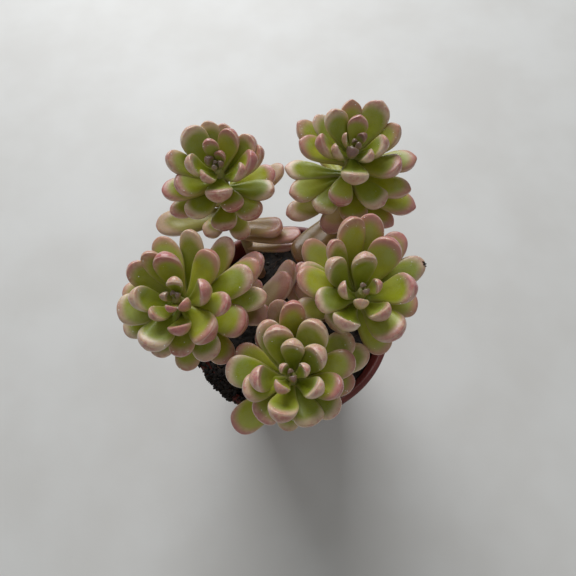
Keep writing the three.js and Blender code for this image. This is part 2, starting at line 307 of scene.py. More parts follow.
# %% [markdown]
# ## The shoots
#
# Each shoot's stem leaves the peat at a slant and bends upright. A leaf is given as [depth below the tip,
# turn about the stem, rise above level, length, width], in millimetres and degrees, from the youngest to
# the oldest. A turn of 0 points right, 90 to the back, 180 left and 270 to the front. The rows repeat the
# CAD's, with the two smallest heart leaves of each shoot added, which the CAD only covers with a bud. The
# last rows, as many as "old" says, are CAD pieces of their own, and the rest belong to the shoot's CAD
# solid.

# %% Leaf tables
SHOOTS = {
    "rear_left": {
        "tip": (-25.8, 34.2, 140),
        "lean": (-0.03, -0.12),
        "root": (-14, 24),
        "old": 11,
        "leaves": [
            [1, 110, 80, 3, 2], [1.3, 240, 78, 3.5, 2.2], [1.7, 10, 74, 4.5, 2.6],
            [2.1, 150, 64, 6, 3.6], [2.6, 60, 62, 7.5, 4.5], [4.5, 232, 52, 9.5, 6.5],
            [3.6, 103, 60, 12.5, 5.5], [7, 342, 48, 15, 6.5], [5, 190, 58, 15, 7.5],
            [5.5, 65, 46, 17, 8.5], [6.5, 272, 30, 12.5, 10], [7.5, 4, 44, 18.5, 9],
            [7, 130, 40, 20.5, 10.5], [8.5, 198, 25, 17.5, 10], [8.5, 38, 36, 20, 9],
            [9, 101, 36, 21.5, 8.5], [11, 296, 12, 14.5, 8.5], [8, 168, 32, 21, 9], [10, 82, 36, 21, 8],
            [13.5, 228, 8, 18, 9.5], [9, 20, 32, 20.5, 8.5], [18, 120, 5, 21, 9], [22, 70, 0, 21, 9],
            [26, 150, -5, 21, 8.5], [15.5, 316, 5, 18.5, 10], [12.5, 190, 14, 22.5, 10],
            [15, 352, 10, 20, 9.5], [20, 266, -5, 14.5, 10], [16, 206, 5, 22.5, 9],
            [16, 14, 12, 20.5, 9], [25, 290, -15, 16, 8.5], [30, 186, -3, 34, 12],
            [27, 225, -10, 16, 8.5], [28, 38, 12, 27, 9], [40, 351, -2, 19, 10.5], [46, 351, 0, 26, 9],
            [53, 353, -4, 22, 8],
        ],
    },
    "rear_right": {
        "tip": (21.7, 36.7, 148),
        "lean": (0.03, -0.06),
        "root": (18, 26),
        "old": 11,
        "leaves": [
            [1, 110, 80, 3, 2], [1.3, 320, 76, 4, 2.4], [2.5, 250, 60, 6, 4.5], [2, 42, 64, 6.5, 3.5],
            [2.5, 182, 66, 9, 3.5], [5, 325, 45, 9, 6], [5.5, 200, 48, 10.5, 6], [6, 356, 45, 14, 8],
            [4, 82, 52, 12.5, 7], [6, 272, 26, 14, 10], [6, 183, 42, 16.5, 7.5], [5.5, 126, 45, 17, 8.5],
            [9, 342, 22, 18.5, 10], [6.5, 57, 36, 21, 10], [13, 252, 2, 16, 9], [7, 95, 36, 19.5, 8.5],
            [7, 20, 32, 19.5, 8.5], [10, 165, 16, 19.5, 9], [11, 127, 20, 21, 8.5], [18, 60, 0, 20, 9],
            [22, 110, -3, 21, 9], [28, 80, -5, 20, 9], [11, 149, 18, 23.5, 9.5],
            [15, 311, 2, 18.5, 10.5], [12, 2, 14, 23.5, 9], [15, 337, 3, 23.5, 9.5],
            [17, 230, -8, 18, 10], [17, 198, -3, 22.5, 10], [20, 283, -10, 17, 10.5],
            [19, 336, -5, 28, 10], [16, 172, -2, 23, 8.5], [23, 320, -10, 24, 8.5],
            [27, 205, -5, 24, 9.5], [29, 250, -8, 17.5, 9.5], [44, 228, -10, 26, 14],
        ],
    },
    "left": {
        "tip": (-36.5, -14, 138),
        "lean": (0.04, -0.1),
        "root": (-4, 1),
        "old": 11,
        "leaves": [
            [1, 110, 80, 3, 2], [1.3, 20, 78, 3.5, 2.2], [3.3, 180, 71, 6.9, 3.2],
            [3.9, 80, 67, 9.6, 5.4], [4, 262, 63, 8.8, 4], [7.1, 330, 67, 11.5, 5],
            [9.1, 224, 58, 15, 5.9], [11.5, 284, 54, 18.5, 7.2], [11, 12, 57, 20, 8.6],
            [10.5, 181, 54, 19, 8.6], [12, 101, 54, 21.5, 9], [7, 243, 22, 19, 11],
            [7.5, 316, 25, 19.5, 10.5], [11, 119, 40, 22.5, 7.6], [9, 190, 15, 20.5, 11],
            [9, 353, 28, 20.5, 8], [12, 57, 22, 22, 10], [12, 143, 36, 23, 9], [12, 274, 12, 18, 9],
            [15, 22, 14, 27, 10.5], [12, 168, 14, 21, 8.5], [24, 130, -5, 21, 9], [28, 80, -5, 22, 9],
            [26, 160, -8, 19, 9], [28, 220, -10, 19, 9], [20, 266, -2, 21.5, 9.5],
            [19, 232, 2, 20.5, 10], [14, 199, 5, 22.5, 10], [13, 108, 15, 25.5, 10],
            [16, 300, 8, 21, 10], [17, 83, 25, 28.5, 9.5], [18, 344, 10, 23, 11.5],
            [21, 304, -3, 23, 9.5], [20, 31, 7, 30, 10], [28, 41, 3, 32, 10.5], [16, 5, 5, 29, 8.5],
            [24, 68, 3, 30, 10], [30, 22, 3, 26, 8.5], [36, 2, -5, 24, 9], [54, 27, 6, 33, 11.5],
            [62, 42, 0, 33, 11],
        ],
    },
    "front": {
        "tip": (0.4, -38.2, 136),
        "lean": (0, 0.04),
        "root": (1, -14),
        "old": 10,
        "leaves": [
            [1, 110, 80, 3, 2], [1.3, 290, 76, 3.5, 2.4], [3.4, 140, 67, 7.8, 3.6],
            [3.9, 20, 65, 9.5, 4.5], [4.6, 232, 63, 11, 5.4], [8.1, 333, 57, 15.5, 7.2],
            [9.2, 86, 60, 17.5, 7.2], [9.3, 182, 54, 17.5, 8.1], [10.5, 42, 57, 19, 8.6],
            [7.4, 256, 42, 16.5, 9.5], [8.5, 108, 40, 19.5, 9.5], [6.7, 194, 20, 16, 9],
            [7.4, 347, 22, 17, 9], [8.2, 293, 10, 15.5, 9.5], [12, 62, 38, 23.5, 10.5],
            [10, 228, 12, 16, 9.5], [10.7, 325, 12, 18, 9.5], [11.6, 118, 28, 22.5, 8.5],
            [24, 120, 0, 22, 9], [24, 60, 0, 22, 9], [26, 180, -10, 18, 9], [26, 340, -10, 19, 9],
            [28, 270, -15, 14, 8], [12.6, 17, 15, 22, 9.5], [13.6, 170, 12, 22, 10.5],
            [17.5, 90, 36, 30.5, 9], [15.7, 358, 5, 21, 9], [16.8, 262, -10, 16, 8],
            [17.9, 36, 8, 26, 10], [19, 148, 8, 22, 8], [19, 218, -8, 25, 11], [20, 20, 0, 29, 10],
            [40, 100, 10, 31, 10],
        ],
    },
    "right": {
        "tip": (22.8, -12.6, 141),
        "lean": (0.03, -0.03),
        "root": (13, 2),
        "old": 10,
        "leaves": [
            [1, 110, 80, 3, 2], [1.3, 290, 76, 3.5, 2.4], [3.5, 5, 67, 9, 4.5], [6.8, 255, 67, 13, 5],
            [7.7, 186, 62, 14.5, 5.4], [9.5, 305, 57, 17, 7.6], [9.2, 86, 60, 18, 8.1],
            [9.9, 142, 52, 20.5, 8.1], [11, 240, 50, 21, 8.6], [7.8, 3, 41, 19.5, 10],
            [6.5, 193, 15, 15.5, 9], [9.4, 60, 38, 23, 10.5], [7.5, 308, 22, 19, 11.5],
            [11, 123, 41, 24, 7.1], [9, 166, 15, 22, 10], [10, 355, 8, 19.5, 10],
            [12.5, 102, 38, 29.5, 10], [14, 225, -10, 12, 9], [24, 20, -5, 21, 9], [24, 60, -5, 22, 9],
            [26, 180, -8, 19, 9], [28, 330, -10, 19, 8.5], [12, 27, 15, 26, 9.5],
            [13, 55, 20, 27.5, 9.5], [14, 147, 10, 22.5, 8.5], [12, 80, 28, 30, 10],
            [18, 307, -8, 20, 10], [18, 127, 8, 28, 9.5], [24, 140, 0, 25, 7], [50, 140, 3, 21, 8],
            [58, 84, 12, 26, 10], [60, 143, 5, 22, 10],
        ],
    },
}
print("leaves:", sum(len(shoot["leaves"]) for shoot in SHOOTS.values()))

# %% [markdown]
# ## A stem's course
#
# The CAD bends each stem along a quadratic curve from the tip over a knee to the root. A curve object
# could draw it too, but leaves need to know where the stem is and which way it points at any depth. So
# the same curve is worked out here on a fine row of points, and its length is summed up along them.

# %% Stem courses
PEAT_ROOT = 72
KNEE_SHARE = 0.55
COURSE_POINTS = 241


def stem_course(shoot):
    """Depths below the tip, and the points and downward slopes of a stem there. With t from 0 at the tip
    to 1 at the root, the point is (1-t)^2 tip + 2t(1-t) knee + t^2 root, and the depth is the length run
    so far."""
    tip = np.array(shoot["tip"], float)
    root = np.array([*shoot["root"], PEAT_ROOT], float)
    axis = np.array([*shoot["lean"], 1.0])
    knee = tip - axis / np.linalg.norm(axis) * KNEE_SHARE * np.linalg.norm(tip - root)
    t = np.linspace(0, 1, COURSE_POINTS)[:, None]
    points = (1 - t) ** 2 * tip + 2 * t * (1 - t) * knee + t**2 * root
    slopes = 2 * (1 - t) * (knee - tip) + 2 * t * (root - knee)
    steps = np.linalg.norm(np.diff(points, axis=0), axis=1)
    return np.concatenate([[0], np.cumsum(steps)]), points, slopes


def unit(vectors):
    """Each vector over its own length."""
    return vectors / np.linalg.norm(vectors, axis=-1, keepdims=True)


def stem_frame(course, depth):
    """The stem's middle at each depth, with the directions right, back and up the stem there. Right is +X
    made square to up, and back is up x right."""
    depths, points, slopes = course
    depth = np.atleast_1d(depth)
    point = np.stack([np.interp(depth, depths, points[:, axis]) for axis in range(3)], -1)
    up = -unit(np.stack([np.interp(depth, depths, slopes[:, axis]) for axis in range(3)], -1))
    point = point - up * np.clip(depth - depths[-1], 0, None)[:, None]
    right = unit(np.array([1.0, 0, 0]) - up * up[:, :1])
    return point, right, np.cross(up, right), up


COURSES = {name: stem_course(shoot) for name, shoot in SHOOTS.items()}
print("stem lengths in mm:", {name: round(course[0][-1]) for name, course in COURSES.items()})

# %% [markdown]
# ## The leaf's shape
#
# A leaf of this sedum is a thick spoon. It leaves the stem on a narrow base, is widest at about three
# quarters of its length, and closes in a blunt round end, with a tiny point on the rear shoots. It could
# be modelled as a subdivided box, but a formula gives 178 different leaves at once: a middle line that
# curls up, a width and a thickness along it, and a section that is flat on top and full below. Young
# leaves are cupped like a spoon and curl more, old ones are level and broader at the base. A few seeded
# bends and swellings keep two leaves from being alike.

# %% Leaf shape
EDGE_UNIT = 5.0
LEAF_THICKNESS, SMALL_THICKNESS = 0.5, 0.75
TOP_SHARE = 0.34
BASE_WIDTH = 0.32
BASE_THICKNESS = 0.55
SHOULDER = 2.3
WIDEST = 0.74
THICKEST = 0.7
CURL_UPRIGHT, CURL_FLAT, UPRIGHT_ABOVE = 58, 20, 20
LEAF_ROWS, LEAF_AROUND = 36, 36
SMALL_ROWS, SMALL_AROUND, SMALL_BELOW = 22, 24, 7
POINT_LENGTH, POINT_RADIUS = 0.5, 1.2
ROUND_TOP, ROUND_BELOW = 2.5, 2.05
GROOVE_DEPTH, KEEL_DEPTH, GROOVE_WIDTH = 0.12, 0.06, 0.3
CUP_LEVEL, CUP_STEEP, CUP_MIDDLE = 0.02, 0.15, 0.35
EDGE_WAVE, FACE_WAVE = 0.03, 0.022
TWIST_MOST, SWEEP_MOST, SWEEP_LENGTH = 9, 0.9, 20
SIDE_SWELL, SIDE_SWELL_SIZE = 0.16, 4.2
FACE_SWELL, FACE_SWELL_SIZE = 0.10, 3.1
EDGE_LEAST = 0.05


def swell(share, peak, first, shoulder, blunt, power):
    """A share of the full size. It rises from first to 1 at peak as sin(90 deg * share / peak) ^ shoulder
    does, and closes to 0 at 1 as (1 - t^blunt) ^ power does, where t runs from 0 at peak to 1."""
    rising = first + (1 - first) * np.sin(np.clip(share / peak, 0, 1) * np.pi / 2) ** shoulder
    t = np.clip((share - peak) / (1 - peak), 0, 1)
    return np.where(share < peak, rising, (1 - t**blunt) ** power)


def smooth(low, high, value):
    """0 up to low, 1 from high, and t * t * (3 - 2 t) between."""
    t = np.clip((value - low) / (high - low), 0, 1)
    return t * t * (3 - 2 * t)


def leaf_skin(course, row, pointed, luck):
    """A leaf's skin, and at each point its share of the length, its distance from the leaf's edge in
    units of EDGE_UNIT, and how far it faces up.

    The middle line is an arc of the slope a(s) = start + curl * s. About it runs a section of half width
    h(s) and thickness k(s): across = sign(cos) |cos|^(2/p) and lift = |sin|^(2/p), with p larger on top,
    which makes the top flat and the rim round. The cup adds (share across)^2, where share is h(s) over
    its largest value, so it dies away at the tip. The groove and the keel are bells in across, and the
    tip is drawn out along the middle line by exp(-(r / radius)^2). Steep leaves are cupped deeper and
    thinner above, old ones broader at the base. The distance e from the edge joins those from the side
    and from the tip by 1 / e^3 = 1 / side^3 + 1 / tip^3."""
    depth, turn, rise, length, width = row
    small = length < SMALL_BELOW
    rows, around = (SMALL_ROWS, SMALL_AROUND) if small else (LEAF_ROWS, LEAF_AROUND)
    s = (1 - np.cos(np.linspace(0, np.pi, rows + 2)[1:-1, None])) / 2
    angle = np.linspace(0, 2 * np.pi, around, endpoint=False)[None]
    upper = np.sin(angle) + 0 * s
    is_top = upper > 0

    blunt = luck.uniform(2.1, 2.6) - 0.2 * pointed
    power = luck.uniform(0.42, 0.48) + 0.06 * pointed
    aged = smooth(20, 38, depth)
    first, shoulder = BASE_WIDTH + 0.3 * aged, SHOULDER - 1.1 * aged
    share = swell(s, WIDEST + luck.uniform(-0.03, 0.03), first, shoulder, blunt, power)
    half = width / 2 * share
    thick = width * (SMALL_THICKNESS if small else LEAF_THICKNESS) * luck.uniform(0.9, 1.08)
    thick = thick * swell(s, THICKEST, BASE_THICKNESS, 1, 2.8, 0.44)
    roundness = np.where(is_top, 2 / ROUND_TOP, 2 / ROUND_BELOW)
    across = np.sign(np.cos(angle)) * np.abs(np.cos(angle)) ** roundness
    youth = smooth(15, 55, rise)
    top = TOP_SHARE - 0.12 * youth
    lift = np.abs(upper) ** roundness * np.where(is_top, top, top - 1)

    middle = np.exp(-((across / GROOVE_WIDTH) ** 2))
    spoon = smooth(0.15, 0.7, s)
    cup = (CUP_LEVEL + CUP_STEEP * youth + luck.uniform(-0.04, 0.05)) * width / 2
    lift = lift * thick + cup * spoon * share * (share * across**2 - CUP_MIDDLE)
    lift = lift - np.clip(upper, 0, 1) * thick * middle * GROOVE_DEPTH * (1 - s)
    lift = lift - np.clip(-upper, 0, 1) * thick * middle * KEEL_DEPTH * smooth(0.35, 0.9, s)
    wave = luck.uniform(0, 2 * np.pi, 3)
    half = half * (1 + EDGE_WAVE * np.sin(5 * s + wave[0] + np.sign(across) * wave[1]))
    lift = lift + FACE_WAVE * width * np.sin(4.5 * s + wave[2]) * across * spoon * share
    sideways = half * across

    twist = math.radians(luck.uniform(-TWIST_MOST, TWIST_MOST)) * s
    sweep = luck.uniform(-SWEEP_MOST, SWEEP_MOST) * (length / SWEEP_LENGTH) * s**2
    sideways, lift = (
        sideways * np.cos(twist) - lift * np.sin(twist) + sweep,
        sideways * np.sin(twist) + lift * np.cos(twist),
    )
    point, right, back, up = (part[0] for part in stem_frame(course, depth))
    out = right * math.cos(math.radians(turn)) + back * math.sin(math.radians(turn))
    side = np.cross(up, out)
    curl = math.radians((CURL_UPRIGHT if rise > UPRIGHT_ABOVE else CURL_FLAT) + luck.uniform(-4, 6))
    start = math.radians(rise) - curl / 2
    slope = start + curl * s
    reach = length / curl * (np.sin(slope) - math.sin(start)) - lift * np.sin(slope)
    height = length / curl * (math.cos(start) - np.cos(slope)) + lift * np.cos(slope)

    def at(reach, height, sideways):
        """The place so far out from the stem, up along it and to the side."""
        return point + reach[..., None] * out + height[..., None] * up + sideways[..., None] * side

    final = start + curl
    tip = at(
        np.array(length / curl * (math.sin(final) - math.sin(start)) - lift[-1].mean() * math.sin(final)),
        np.array(length / curl * (math.cos(start) - math.cos(final)) + lift[-1].mean() * math.cos(final)),
        np.array(sweep[-1, 0]),
    )
    rings = at(reach, height, sideways)
    away = smooth(0, 0.3, s)
    swelling = away * cloud(rings, SIDE_SWELL_SIZE, luck.uniform(0, 99))
    rings = rings + SIDE_SWELL * swelling[..., None] * side
    swelling = away * cloud(rings, FACE_SWELL_SIZE, luck.uniform(0, 99))
    rings = rings + FACE_SWELL * swelling[..., None] * up
    ahead = math.cos(final) * out + math.sin(final) * up
    draw = POINT_LENGTH * min(1, length / 14) * (0.1 + 1.1 * pointed)
    fall = np.exp(-((np.linalg.norm(rings - tip, axis=-1) / POINT_RADIUS) ** 2))
    rings = rings + draw * fall[..., None] * ahead
    skin = closed_skin(rings, point, tip + draw * ahead)

    from_side = half * (1 - np.abs(across)) + EDGE_LEAST
    from_tip = length * (1 - s) + EDGE_LEAST
    edge = (from_side**-3 + from_tip**-3) ** (-1 / 3)
    field = np.stack(np.broadcast_arrays(s, edge / EDGE_UNIT, upper), -1).reshape(-1, 3)
    ends = [[0, 0.3, 0], [1, 0, 0]]
    return skin, np.concatenate([field, ends])


# %% [markdown]
# ## The leaf's finish
#
# The flesh is a bag of water under thin wax: bright green along the middle, and darker towards the stem,
# which is painted shade for the shadow deep in the rosette. The edge and the tip blush from cream to pink,
# and old leaves fade to beige. Leaves low on the stem are lightened to a pale straw, which is painted light
# for the light that shines through them.
# Painting 178 leaves by hand would be slow and would not follow their edges. Instead each leaf keeps two
# fields. "leaf" says where on the leaf a point is, and "tone" says what kind of leaf it is: its age, how
# strongly it blushes, and a tint of its own. One recipe reads both, and a little light passes through the
# flesh as subsurface scattering. The wax is worn smooth at the tips, so they shine as if wet, and the
# flat faces stay duller.


# %% Leaf finish
def leaf_finish(name, glow):
    """Green flesh, darker towards the stem as painted shade, and a pink and cream edge that clouds make
    uneven.
    Age fades the green, leaves low on the stem are lightened to straw as painted light, and a pale bloom
    lies in patches on the upper face, partly a painted sheen. A cream line on the tips' rims is a painted
    highlight, and the heart's dark grey is partly painted shade. glow is the share of light that enters the
    flesh."""
    leaf = Finish(
        name,
        Subsurface_Weight=glow,
        Subsurface_Radius=(1.0, 0.85, 0.25),
        Subsurface_Scale=1.5 * MM,
        Coat_Weight=0.3,
        Coat_Roughness=0.2,
        Sheen_Weight=0.05,
        Sheen_Roughness=0.4,
        Sheen_Tint=linear("dfe4ea"),
        IOR=1.4,
    )
    along, edge, upper = leaf.field("leaf")
    age, blush, tint = leaf.field("tone")
    clouds = leaf.noise(6)
    spots = leaf.noise(1.4, 4)
    grain = leaf.noise(0.4, 2)
    edge = edge * EDGE_UNIT + (clouds - 0.5) * 1.4 + (spots - 0.5) * 0.5
    flesh = leaf.mix((clouds + tint - 0.5).step(0.2, 0.8), "96a00e", "aeb124")
    # Painted shade: the green darkens towards the stem, for the shadow deep in the rosette.
    flesh = leaf.mix(along.step(0.6, 0.05) * 0.6, flesh, "647a0e")
    flesh = leaf.mix(edge.step(1.5, 0.0) * 0.4, flesh, "bcb46c")
    faded = leaf.mix((clouds + tint - 0.5).step(0.2, 0.8), "99924a", "b09268")
    flesh = leaf.mix(age.step(0.25, 1.0), flesh, faded)
    under = upper.step(0.1, -0.8) * (along.step(0.1, 0.6) * 0.5 + 0.15)
    flesh = leaf.mix(under, flesh, "c6a284")
    # A pale grey-green on the upper face towards the tips: partly the wax bloom's own colour, partly a
    # painted sheen.
    bloom_and_sheen = (grain * 0.3 + clouds * 0.7).step(0.3, 0.65) * age.step(0.7, 0.0) * upper.step(-0.6, 0.4)
    bloom_and_sheen = bloom_and_sheen * (along.step(0.4, 0.85) * 0.8 + 0.2)
    flesh = leaf.mix(bloom_and_sheen * 0.28, flesh, "adc0a2")
    # Painted light: leaves low on the stem, whose tint goes past 1, are lightened to a pale straw for the
    # light shining through them.
    flesh = leaf.mix(tint.step(1.0, 1.6) * 0.8, flesh, "e2cb98")
    aged = age.step(0.4, 1.0)
    rim = leaf.mix((spots * 0.4 + clouds * 0.5 + tint * 0.6 - 0.25).step(0.3, 0.7), "e4cab2", "c68a86")
    rim = leaf.mix(aged * 0.6, rim, "c69c90")
    tip = (along + aged * 0.08).step(0.58, 1.0)
    reach = edge - tip * (3.3 + 1.6 * aged)
    pink = reach.step(0.9, -2.3) * blush * 0.95
    skin = leaf.mix(pink, flesh, rim)
    lips = along.step(0.86, 1.0) * edge.step(1.6, 0.2) * blush * (spots.step(0.35, 0.65) * 0.7 + 0.3)
    skin = leaf.mix(lips * 0.7, skin, "b8656a")
    # Painted highlight: a pale cream line on the rim where the upper face meets the underside, towards the
    # tip.
    highlight_ridge = upper.math("ABSOLUTE", upper).step(0.4, 0.0) * along.step(0.5, 0.85)
    skin = leaf.mix(highlight_ridge * 0.4, skin, "efdcc8")
    skin = leaf.mix(age.step(1.1, 1.5) * 0.85, skin, "6b4d16")
    # The smallest heart leaves turn a dark mauve grey: partly their own colour, partly painted shade of the
    # deep pit in the rosette's middle.
    heart_colour_and_shade = age.step(-0.3, -0.9)
    skin = leaf.mix(heart_colour_and_shade * (tip * 0.4 + 0.4), skin, "5f544b")
    pores = leaf.cells(2.6).step(0.085, 0.04) * spots.step(0.5, 0.6)
    skin = leaf.mix(pores * 0.4, skin, "7b5a44")
    rough = 0.38 + grain * 0.14 + bloom_and_sheen * 0.1 - tip * 0.17
    normal = leaf.bump(clouds, 0.4)
    normal = leaf.bump(grain * 0.3 + spots * 0.7, 0.08, normal)
    return leaf.done(Base_Color=skin, Roughness=rough, Normal=normal)


YOUNG_FINISH = leaf_finish("waxy_young_leaf", 0.3)
OLD_FINISH = leaf_finish("soft_old_leaf", 0.5)
print("leaf finish:", len(YOUNG_FINISH.node_tree.nodes), "nodes")

# %% [markdown]
# ## Growing the leaves
#
# Every leaf draws its luck from its own seeded generator, so one leaf can be changed without disturbing
# the others. Its age follows its depth on the stem. One leaf under the rear right rosette has dried to
# brown, which an age beyond 1 stands for. How far the tips are drawn out to a point is set for each
# shoot, since the rear ones are clearly pointed and the others nearly round.

# %% Growing the leaves
POINTED = {"rear_left": 0.3, "rear_right": 0.8, "left": 0.05, "front": 0.05, "right": 0.15}
DRIED_LEAF, DRIED_AGE = ("rear_right", 34), 1.5


def leaf_tone(shoot, number, row, luck):
    """Age from -1 in the heart over 0 to 1 on the oldest leaves, how strongly the leaf blushes, and its
    tint, which goes past 1 low on the stem, where it paints those leaves a pale straw as painted light. The
    age is a smooth rise with the depth less a smooth rise with shortness, and the tint is a random number
    plus a smooth rise with the depth."""
    depth, _, _, length, _ = row
    age = smooth(12, 34, depth) - smooth(11, 4, length)
    if (shoot, number) == DRIED_LEAF:
        age = DRIED_AGE
    return age, luck.uniform(0.72, 1.0), luck.uniform(0.1, 0.9) + smooth(50, 54, depth)


BEAD_PLACES, TIPS = [], {}


def grow_shoot(name, shoot, order):
    """Makes a shoot's leaves. It keeps each leaf's tip, and up to six places for beads near the tip of a
    young leaf, on its upper face."""
    leaves = shoot["leaves"]
    first_old = len(leaves) - shoot["old"]
    for number, row in enumerate(leaves):
        luck = np.random.default_rng([SEED, order, number])
        old = number >= first_old
        count = number - first_old + 1 if old else number + 1
        skin, place = leaf_skin(COURSES[name], row, POINTED[name], luck)
        TIPS[name, number] = skin[0][-1]
        tone = np.tile(leaf_tone(name, number, row, luck), (len(place), 1))
        piece = f"{name}_{'old' if old else 'young'}_leaf_{count:02d}"
        node = f"{name}_leaf_{count:02d}" if old else f"{name}_shoot"
        finish = OLD_FINISH if old and row[0] > 20 else YOUNG_FINISH
        add_piece(piece, [skin], finish, [node], {"leaf": place, "tone": tone})
        shown = skin[0][(place[:, 0] > 0.72) & (place[:, 0] < 0.98) & (place[:, 2] > 0.1)]
        if row[3] > 8 and row[0] < 25:
            BEAD_PLACES.append(luck.choice(shown, luck.integers(0, 7), replace=False))
    return len(leaves)


for order, (name, shoot) in enumerate(SHOOTS.items()):
    print(name, "has", grow_shoot(name, shoot, order), "leaves")

# %% [markdown]
# ## Stems
#
# A stem is a soft tube, a little thicker and browner towards the root, with a pale scar wherever an old
# leaf has dropped. The tube is the course above with a radius at each depth. The scars are low ridges
# that reach part of the way around, so they are put into the radius too, and the colour follows from a
# field that says how deep a point lies and how much of a scar it is.

# %% Stem shape
STEM_RADIUS = 2.2
ROOTED_DEPTH = 7
STEM_TOP = 1.5
STEM_AROUND = 24
STEM_NECK, STEM_GROWTH, STEM_ROOT_GROWTH = 0.62, 0.38, 0.12
SCAR_FIRST, SCAR_SPACING, SCAR_SHIFT = 14, 5.2, 1.4
SCAR_WIDTH, SCAR_REACH, SCAR_HEIGHT = 0.7, 0.45, 0.32


def stem_skin(course, luck):
    """A tube about the course. Its radius is the stem's radius times the sum of the neck's share, a
    growth over the first 10 mm and a growth over the lower part. Scars are added to it: a bell in depth
    times a bell in angle, each at a random turn. A low cloud roughens the skin."""
    length = course[0][-1]
    depth = np.linspace(length + ROOTED_DEPTH, STEM_TOP, int(length / 0.55))
    point, right, back, up = stem_frame(course, depth)
    angle = np.linspace(0, 2 * np.pi, STEM_AROUND, endpoint=False)
    share = STEM_NECK + STEM_GROWTH * smooth(0, 10, depth)
    share = share + STEM_ROOT_GROWTH * smooth(0.6, 1, depth / length)
    radius = (STEM_RADIUS * share)[:, None] + 0 * angle
    scar = np.zeros_like(radius)
    for low in np.arange(SCAR_FIRST, length + 2, SCAR_SPACING):
        middle = low + luck.uniform(-SCAR_SHIFT, SCAR_SHIFT)
        turn = luck.uniform(0, 2 * np.pi)
        bell = np.exp(-(((depth - middle) / SCAR_WIDTH) ** 2))[:, None]
        scar += bell * np.exp(-((np.sin((angle - turn) / 2) / SCAR_REACH) ** 2))
    ring = right[:, None] * np.cos(angle)[:, None] + back[:, None] * np.sin(angle)[:, None]
    radius = radius + SCAR_HEIGHT * scar
    rings = point[:, None] + ring * radius[..., None]
    rings = rings + ring * 0.14 * cloud(rings, 2.6, luck.uniform(0, 99))[..., None]
    field = np.stack(np.broadcast_arrays(depth[:, None] / length, np.clip(scar, 0, 1), 0.0), -1)
    ends = [[1, 0, 0], [0, 0, 0]]
    return closed_skin(rings, point[0], point[-1]), np.concatenate([field.reshape(-1, 3), ends])


# %% [markdown]
# ### Stem finish
#
# Near the rosette the stem is pale olive and as waxy as a leaf. Lower down it turns to a dry reddish
# brown, mottled by fine noise, and the scars stay paler. A ramp over the height would run level through
# five slanting stems. The field runs along each stem instead, so the brown climbs each one alike.


# %% Stem finish
def stem_finish():
    """Olive near the tip and brown near the root by the stem's own field, mottled by a fine noise."""
    stem = Finish("waxy_stem", Subsurface_Weight=0.15, Subsurface_Radius=(1.0, 0.7, 0.35))
    stem.shader.inputs["Subsurface Scale"].default_value = 1.2 * MM
    deep, scar, _ = stem.field("stem")
    clouds = stem.noise(4)
    grain = stem.noise(0.5, 4)
    skin = stem.mix(clouds.step(0.3, 0.7), "a3a566", "b2a779")
    skin = stem.mix((deep + clouds * 0.5 - 0.25).step(0.35, 0.95), skin, "8c6549")
    skin = stem.mix(grain.step(0.55, 0.75) * 0.35, skin, "7d5b45")
    skin = stem.mix(scar.step(0.2, 0.8) * 0.6, skin, "c0a68c")
    normal = stem.bump(clouds, 0.3)
    normal = stem.bump(grain, 0.12, normal)
    return stem.done(Base_Color=skin, Roughness=0.42 + 0.25 * grain, Normal=normal)


STEM_FINISH = stem_finish()
for order, name in enumerate(SHOOTS):
    skin, field = stem_skin(COURSES[name], np.random.default_rng([SEED, 50, order]))
    add_piece(f"{name}_stem", [skin], STEM_FINISH, [f"{name}_shoot"], {"stem": field})
print("stems:", len(SHOOTS))

# %% [markdown]
# ## The pot
#
# A nursery pot is moulded from thin plastic: a tapered wall, a lip that turns out and down as a short
# skirt, and a flat floor with drain holes. It is a profile turned about the axis. Its few measures are
# the CAD's, and its height and rim come from the frame. The profile's corners are rounded by short arcs,
# so the lip catches the light as a moulded edge does. Six drills then cut the drain holes.

# %% Pot shape
pot_high = np.array(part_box("pot")[1]) / MM
POT_HEIGHT = pot_high[2]
RIM_RADIUS = pot_high[0]
FOOT_RADIUS = 31
WALL = 1.2
FLOOR = 1.4
LIP_WIDTH = 3.2
SKIRT_DEPTH = 10
SKIRT_DRAFT = 0.4
POT_AROUND = 192
CORNER_STEPS = 5
DRAIN_HOLES, DRAIN_RADIUS, DRAIN_CIRCLE, DRAIN_SIDES = 6, 3.8, 20, 40
SHARP_FROM = 50


def rounded(profile):
    """The profile's points, each given as [radius, height, rounding], with every corner replaced by a
    curve (1-t)^2 a + 2t(1-t) corner + t^2 b, where a and b lie its rounding away along the two sides."""
    corners = np.array(profile, float)
    t = np.linspace(0, 1, CORNER_STEPS)[:, None]
    path = [corners[0, :2][None]]
    for before, corner, after in zip(corners[:-2], corners[1:-1], corners[2:]):
        a = corner[:2] + corner[2] * unit(before[:2] - corner[:2])
        b = corner[:2] + corner[2] * unit(after[:2] - corner[:2])
        path.append((1 - t) ** 2 * a + 2 * t * (1 - t) * corner[:2] + t**2 * b)
    path.append(corners[-1, :2][None])
    return np.concatenate(path)


def turned(path, around):
    """A profile of [radius, height] turned about the upright axis, from its first point to its last."""
    angle = np.linspace(0, 2 * np.pi, around, endpoint=False)
    radius, height = path[1:-1, :1], path[1:-1, 1:]
    rings = np.stack(np.broadcast_arrays(radius * np.cos(angle), radius * np.sin(angle), height), -1)
    return closed_skin(rings, (0, 0, path[0, 1]), (0, 0, path[-1, 1]))


def wall_at(height):
    """The wall's outer radius, which grows evenly from the foot to just under the lip."""
    return FOOT_RADIUS + (RIM_RADIUS - LIP_WIDTH + WALL - FOOT_RADIUS) * height / POT_HEIGHT


